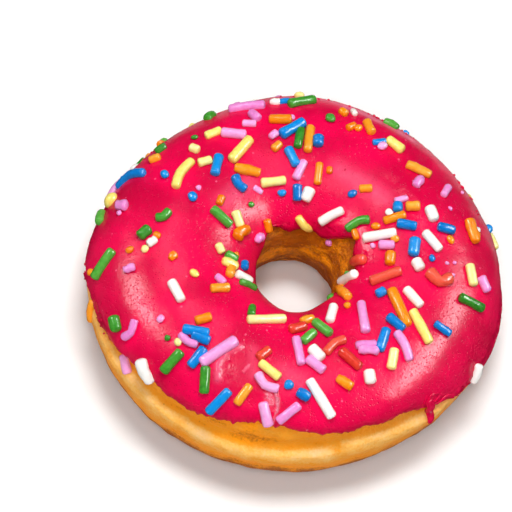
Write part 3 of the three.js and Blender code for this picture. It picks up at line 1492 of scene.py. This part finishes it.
class SprinkleColour(Enum):
    """The colours in the mix: their finishes, their sprinkles, and their shares of the unseen."""

    WHITE = (SprinkleFinish("white", "FFFBF4", "FFFFFC", "FBF0E6"), WHITE, 10)
    PINK = (SprinkleFinish("pink", "F399DA", "FAB6E6", "E67CC8"), PINK, 17)
    YELLOW = (SprinkleFinish("yellow", "FFEF80", "FFF8AC", "FDD95C"), YELLOW, 11)
    ORANGE = (SprinkleFinish("orange", "FF9408", "FFAE3A", "F27602"), ORANGE, 20)
    RED = (SprinkleFinish("red", "EB4632", "F4634A", "D42E22"), RED, 5)
    GREEN = (SprinkleFinish("green", "40992C", "66B84A", "22761E"), GREEN, 14)
    BLUE = (SprinkleFinish("blue", "0087DC", "16A0F0", "006CC0"), BLUE, 14)

    @property
    def finish(self) -> SprinkleFinish:
        """How it looks."""
        return self.value[0]

    @property
    def placed(self) -> tuple[Sprinkle, ...]:
        """Where each of its sprinkles lies."""
        return self.value[1]

    @property
    def share(self) -> int:
        """How many of each hundred unseen sprinkles are of this colour, about."""
        return self.value[2]


@dataclass
class SprinkleMix:
    """All the sprinkles, one piece for each colour."""

    surface: RingSurface
    seed: int = 7
    unseen_count: int = 40
    unseen_around: tuple[float, float] = (18, 160)
    unseen_tilt: tuple[float, float] = (-6, 7)
    unseen_half_mm: tuple[float, float] = (0.3, 2.8)
    own_girth: tuple[float, float] = (0.94, 1.06)
    taper: tuple[float, float] = (0.93, 1.05)
    lump_taper: tuple[float, float] = (0.85, 1.1)
    bead_stretch: tuple[float, float] = (0.02, 0.3)
    patterns: tuple[float, float] = (0, 50)
    bedding: float = 0.58
    yielding: float = 0.55
    sunk_bedding: float = 0.15
    low_tilt: float = 6.0
    bead_growth: float = 1.14
    bead_flatness: float = 0.9
    bead_lumpiness: float = 0.22
    outer_radius: float = 44.0  # millimetres, as the next
    section_radius: float = 18.0
    draw: random.Random = field(init=False)
    rod_mould: bpy.types.Object | None = field(default=None, init=False)
    bead_mould: bpy.types.Object | None = field(default=None, init=False)

    def build(self) -> list[bpy.types.Object]:
        """Makes every colour's piece.

        Returns:
            The pieces.
        """
        self.draw = random.Random(self.seed)
        self.rod_mould = Mould.rod(10, 3, "rod_mould")
        self.bead_mould = Mould.bead()
        unseen = self._unseen()
        pieces = [self._colour_piece(colour, unseen[colour]) for colour in SprinkleColour]
        for mould in (self.rod_mould, self.bead_mould):
            bpy.data.objects.remove(mould)
        return pieces

    def _unseen(self) -> dict[SprinkleColour, list[Sprinkle]]:
        """Draws the sprinkles low on the far side.

        Returns:
            Each colour's own.
        """
        drawn: dict[SprinkleColour, list[Sprinkle]] = {colour: [] for colour in SprinkleColour}
        colours = list(SprinkleColour)
        shares = [colour.share for colour in colours]
        for _ in range(self.unseen_count):
            colour = self.draw.choices(colours, shares)[0]
            around = self.draw.uniform(*self.unseen_around)
            tilt = self.draw.uniform(*self.unseen_tilt)
            turn = self.draw.uniform(0, math.pi)
            half = self.draw.uniform(*self.unseen_half_mm)
            step_around = math.degrees(half * math.cos(turn) / self.outer_radius)
            step_tilt = math.degrees(half * math.sin(turn) / self.section_radius)
            places = (
                (around - step_around, tilt - step_tilt),
                (around + step_around, tilt + step_tilt),
            )
            girth, form = PLAIN, SMOOTH
            if tilt > self.low_tilt:
                girth, form = self.draw.choice((THIN, SLIM)), SUNK
            drawn[colour].append(Sprinkle(places, girth, form, 0, seen=False))
        return drawn

    def _colour_piece(self, colour: SprinkleColour, unseen: list[Sprinkle]) -> bpy.types.Object:
        """Makes one colour's sprinkles and joins them.

        Args:
            colour: the colour.
            unseen: the ones that were drawn for it.

        Returns:
            The piece.
        """
        copies = [self._sprinkle(sprinkle) for sprinkle in (*colour.placed, *unseen)]
        piece = join(copies)
        name = colour.finish.name
        piece.name = f"sprinkles_{name}"
        piece.data.name = piece.name
        piece.data.materials.append(colour.finish.material())
        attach(piece, "root")
        return piece

    def _sprinkle(self, sprinkle: Sprinkle) -> bpy.types.Object:
        """Presses one sprinkle into the icing.

        Args:
            sprinkle: where it lies and how it is shaped.

        Returns:
            The sprinkle, with its own mesh.
        """
        width = sprinkle.girth.value * MM * self.draw.uniform(*self.own_girth)
        lumpiness, flatness = sprinkle.form.value
        bedding = self.sunk_bedding if sprinkle.form is SUNK else self.bedding
        height = width * bedding + sprinkle.lift_mm * MM
        spine = [self.surface.over(place, height, sprinkle.seen) for place in sprinkle.places]
        if len(spine) == 1:
            copy = self._bead(spine[0], width * self.bead_growth)
        else:
            if len(spine) == 2:
                spine.insert(1, self._between(spine, height))
            widths = [width * self.draw.uniform(*self.taper) for _ in spine]
            if sprinkle.form is LUMPY:
                widths = [w * self.draw.uniform(*self.lump_taper) for w in widths]
            seed = self.draw.uniform(*self.patterns)
            copy = press(self.rod_mould, spine, widths, flatness, lumpiness, seed)
        paint_even(copy, tone=self.draw.random())
        return copy

    def _between(self, ends: list[tuple[Vector, Vector]], height: float) -> tuple[Vector, Vector]:
        """The middle of a rod that gives a little to the surface under it.

        Args:
            ends: the rod's two ends, each with the normal under it.
            height: how far over the surface it lies.

        Returns:
            The middle, and the normal under it.
        """
        middle = (ends[0][0] + ends[1][0]) / 2
        over, normal = self.surface.height_of(middle)
        return middle + normal * (height - over) * self.yielding, normal

    def _bead(self, place: tuple[Vector, Vector], width: float) -> bpy.types.Object:
        """Presses one bead at a place.

        Args:
            place: its middle, and the normal under it.
            width: half its width.

        Returns:
            The bead, with its own mesh.
        """
        centre, normal = place
        aside = normal.cross(Vector((self.draw.uniform(-1, 1), self.draw.uniform(-1, 1), 0.1)))
        half = aside.normalized() * width * self.draw.uniform(*self.bead_stretch)
        copy = copy_of(self.bead_mould, "bead")
        direction = half.normalized()
        side = direction.cross(normal).normalized()
        seed = self.draw.uniform(*self.patterns)
        shaped = []
        for x, y, z in points_of(self.bead_mould):
            swell = 1 + self.bead_lumpiness * ripple(x, y, z, LUMP_SIZE, seed)
            round_place = side * x + normal * y * self.bead_flatness + direction * z
            shaped.append(centre + round_place * width * swell + half * z)
        set_points(copy, np.array(shaped))
        return copy


@dataclass(frozen=True)
class CrumbField:
    """One part of the icing that crumbs fall on, and how much bigger than usual they are there."""

    around: tuple[float, float]
    tilt: tuple[float, float]
    growth: float = 1.0


@dataclass
class IcingCrumbs:
    """Small crumbs and nibs of set icing that stand on its skin."""

    surface: RingSurface
    seed: int = 23
    count: int = 90
    size_mm: tuple[float, float] = (0.12, 0.3)
    stretch: tuple[float, float] = (0.8, 1.4)
    fields: tuple[CrumbField, ...] = (
        CrumbField((150, 215), (8, 30)),
        CrumbField((20, 150), (27, 34), growth=1.5),
        CrumbField((0, 360), (35, 125)),
    )
    bedding: float = 0.3
    # How much of the edge's painted shade the crumbs take.
    lip: float = 0.6

    def build(self, material: bpy.types.Material) -> bpy.types.Object:
        """Scatters the crumbs.

        Args:
            material: the icing's own.

        Returns:
            The piece.
        """
        draw = random.Random(self.seed)
        deselect()
        bpy.ops.mesh.primitive_ico_sphere_add(subdivisions=1, radius=1)
        mould = bpy.context.object
        edit(mould, lambda: bpy.ops.transform.resize(value=(1, 0.8, 0.6)))
        crumbs = []
        for number in range(self.count):
            part = self.fields[number % len(self.fields)]
            size = draw.uniform(*self.size_mm) * MM * part.growth
            point, normal = self.surface.at((draw.uniform(*part.around), draw.uniform(*part.tilt)))
            crumb = copy_of(mould, "crumb")
            aside = normal.orthogonal().normalized()
            across = normal.cross(aside)
            shaped = [
                point + (aside * x + across * y + normal * (z + self.bedding)) * size
                for x, y, z in points_of(mould) * [draw.uniform(*self.stretch), 1, 1]
            ]
            set_points(crumb, np.array(shaped))
            crumbs.append(crumb)
        bpy.data.objects.remove(mould)
        piece = join(crumbs)
        piece.name = "icing_crumbs"
        # The crumbs get no painted highlight, and much of the edge's painted shade.
        paint_even(piece, crackle=0.0, veil=0.0, lip=self.lip)
        piece.data.materials.append(material)
        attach(piece, "root")
        return piece


# ---------------- studio


@dataclass(frozen=True)
class Softbox:
    """One soft light: where it stands, seen from the doughnut, and how big and strong it is."""

    name: str
    around: float
    elevation: float
    distance: float
    width: float
    height: float
    power: float
    shines: bool = True
    lights: bool = True

    def build(self, target: Vector) -> None:
        """Hangs the light and turns it to the target.

        Args:
            target: what it points at.
        """
        a, e = math.radians(self.around), math.radians(self.elevation)
        toward = Vector((math.cos(a) * math.cos(e), math.sin(a) * math.cos(e), math.sin(e)))
        lamp = bpy.data.lights.new(self.name, "AREA")
        lamp.shape = "RECTANGLE"
        lamp.size, lamp.size_y = self.width, self.height
        lamp.energy = self.power
        holder = bpy.data.objects.new(self.name, lamp)
        bpy.context.collection.objects.link(holder)
        holder.location = target + toward * self.distance
        holder.rotation_euler = toward.to_track_quat("Z", "Y").to_euler()
        holder.visible_glossy = self.shines
        holder.visible_diffuse = self.lights


@dataclass
class Studio:
    """A plain table, soft lights, and the camera."""

    aim: Vector = field(default_factory=lambda: Vector((-0.25, -0.72, 14.0)) * MM)
    elevation: float = 58.81
    roll: float = 12.0
    distance: float = 0.5934
    lens: float = 187.3
    aside: float = -8.38 * MM
    above: float = 5.61 * MM
    ambient: float = 0.22
    table_size: float = 6.0
    softboxes: tuple[Softbox, ...] = (
        Softbox("front_fill", 268, 58, 0.75, 0.24, 0.22, 2.0, shines=False),
        Softbox("overhead", 96, 86, 0.62, 0.24, 0.2, 2.8, shines=False),
        Softbox("low_shine", 84, -27, 0.50, 0.6, 0.3, 0.32, lights=False),
        Softbox("left_shine", 172, 48, 0.50, 0.08, 0.15, 1.25, lights=False),
        Softbox("right_shine", 10, 45, 0.50, 0.376, 0.123, 3.8, lights=False),
        Softbox("back_shine", 112, 65, 0.50, 0.06, 0.06, 0.16, lights=False),
    )

    @property
    def toward_eye(self) -> Vector:
        """The direction from the aim to the eye."""
        e = math.radians(self.elevation)
        return Vector((0, -math.cos(e), math.sin(e)))

    @property
    def eye(self) -> Vector:
        """Where the camera stands."""
        return self.aim + self.toward_eye * self.distance

    def build(self) -> None:
        """Sets the table, the lights and the camera."""
        self._table()
        self._world()
        for softbox in self.softboxes:
            softbox.build(self.aim)
        self._camera()

    def _table(self) -> None:
        """Lays the table top under the ring."""
        deselect()
        bpy.ops.mesh.primitive_plane_add(size=self.table_size, location=(0, 0, 0))
        table = bpy.context.object
        table.name = "table_floor"
        table.data.materials.append(FloorFinish().material())
        table.visible_glossy = False

    def _world(self) -> None:
        """Fills the room with even light."""
        world = bpy.data.worlds.new("room")
        world.use_nodes = True
        background = world.node_tree.nodes["Background"]
        background.inputs["Color"].default_value = (1, 1, 1, 1)
        background.inputs["Strength"].default_value = self.ambient
        world.cycles_visibility.glossy = False
        bpy.context.scene.world = world
        bpy.context.scene.view_settings.view_transform = "Standard"

    def _camera(self) -> None:
        """Stands the camera, rolled a little, with the ring a little off the middle."""
        back = self.toward_eye
        right = Vector((1, 0, 0))
        upward = back.cross(right)
        turn = math.radians(self.roll)
        across = right * math.cos(turn) + upward * math.sin(turn)
        upright = back.cross(across)
        target = self.aim + across * self.aside + upright * self.above
        back = (self.eye - target).normalized()
        across = upright.cross(back).normalized()
        upright = back.cross(across)
        data = bpy.data.cameras.new("camera")
        data.lens = self.lens
        data.clip_start, data.clip_end = 0.05, 20
        camera = bpy.data.objects.new("camera", data)
        bpy.context.collection.objects.link(camera)
        matrix = camera.matrix_world.copy()
        for column, axis in enumerate((across, upright, back, self.eye)):
            matrix.col[column][:3] = axis
        camera.matrix_world = matrix
        bpy.context.scene.camera = camera


# ---------------- main


def report(piece: bpy.types.Object) -> None:
    """Logs one piece's name and how many faces it has."""
    LOG.info("%s: %d faces", piece.name, len(piece.data.polygons))


def main() -> None:
    """Builds the doughnut and the studio round it."""
    logging.basicConfig(level=logging.INFO, format="%(name)s: %(message)s")
    studio = Studio()
    studio.build()
    dough = DoughRing().build()
    report(dough)
    icing = Icing()
    icing.build(dough)
    bare = RingSurface(tree_of(icing.piece, dough), studio.eye)
    drip_mould = Mould.rod(12, 15, "drip_mould")
    icing.add_drip(bare, drip_mould)
    bpy.data.objects.remove(drip_mould)
    report(icing.piece)
    surface = RingSurface(tree_of(icing.piece, dough), studio.eye)
    for piece in SprinkleMix(surface).build():
        report(piece)
    report(IcingCrumbs(surface).build(icing.piece.data.materials[0]))


if __name__ == "__main__":
    main()
